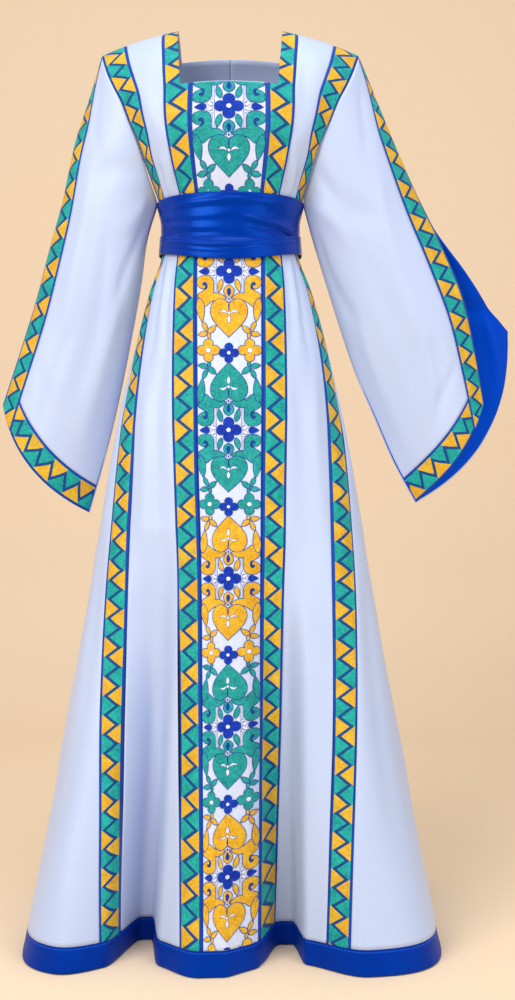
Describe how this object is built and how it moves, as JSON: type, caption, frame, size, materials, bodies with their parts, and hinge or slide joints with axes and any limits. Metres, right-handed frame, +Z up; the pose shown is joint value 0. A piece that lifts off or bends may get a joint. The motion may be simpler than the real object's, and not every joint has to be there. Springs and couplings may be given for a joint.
{
  "type": "jalabiya",
  "caption": "Full-length jalabiya dress in its hollow worn shape, with split bell sleeves, a square neckline, banded front panels, a hem band and a wound waist sash.",
  "frame": {"origin": "midway between the neck ends of the two shoulder seams, where the wearer's shoulders carry the dress", "axes": "+Z up, the front faces -Y, +X towards the wearer's left"},
  "size_m": [0.8533, 0.5446, 1.4594],
  "materials": {
    "pale_satin": "pale periwinkle white satin with a soft sheen",
    "flowered_satin": "pale satin embroidered with gold and teal arabesques outlined in navy",
    "zigzag_satin": "satin band of teal and gold triangles parted by a navy zigzag",
    "blue_satin": "royal blue satin"
  },
  "bodies": {
    "root": {"front_centre_panel": "flowered_satin", "centre_band_right": "zigzag_satin", "centre_band_left": "zigzag_satin", "front_gore_right": "pale_satin", "front_gore_left": "pale_satin", "princess_band_right": "zigzag_satin", "princess_band_left": "zigzag_satin", "side_panel_right": "pale_satin", "side_panel_left": "pale_satin", "back_skirt_right": "pale_satin", "back_bodice_right": "pale_satin", "back_skirt_left": "pale_satin", "back_bodice_left": "pale_satin", "hem_band_front": "blue_satin", "hem_band_back": "blue_satin", "sleeve_front_right": "pale_satin", "sleeve_front_left": "pale_satin", "sleeve_back_right": "pale_satin", "sleeve_back_left": "pale_satin", "sleeve_band_right": "zigzag_satin", "sleeve_band_left": "zigzag_satin", "cuff_band_right": "zigzag_satin", "cuff_band_left": "zigzag_satin", "sleeve_lining_front_right": "blue_satin", "sleeve_lining_back_right": "blue_satin", "sleeve_lining_front_left": "blue_satin", "sleeve_lining_back_left": "blue_satin", "sash_upper_turn": "blue_satin", "sash_lower_turn": "blue_satin"}
  },
  "joints": []
}
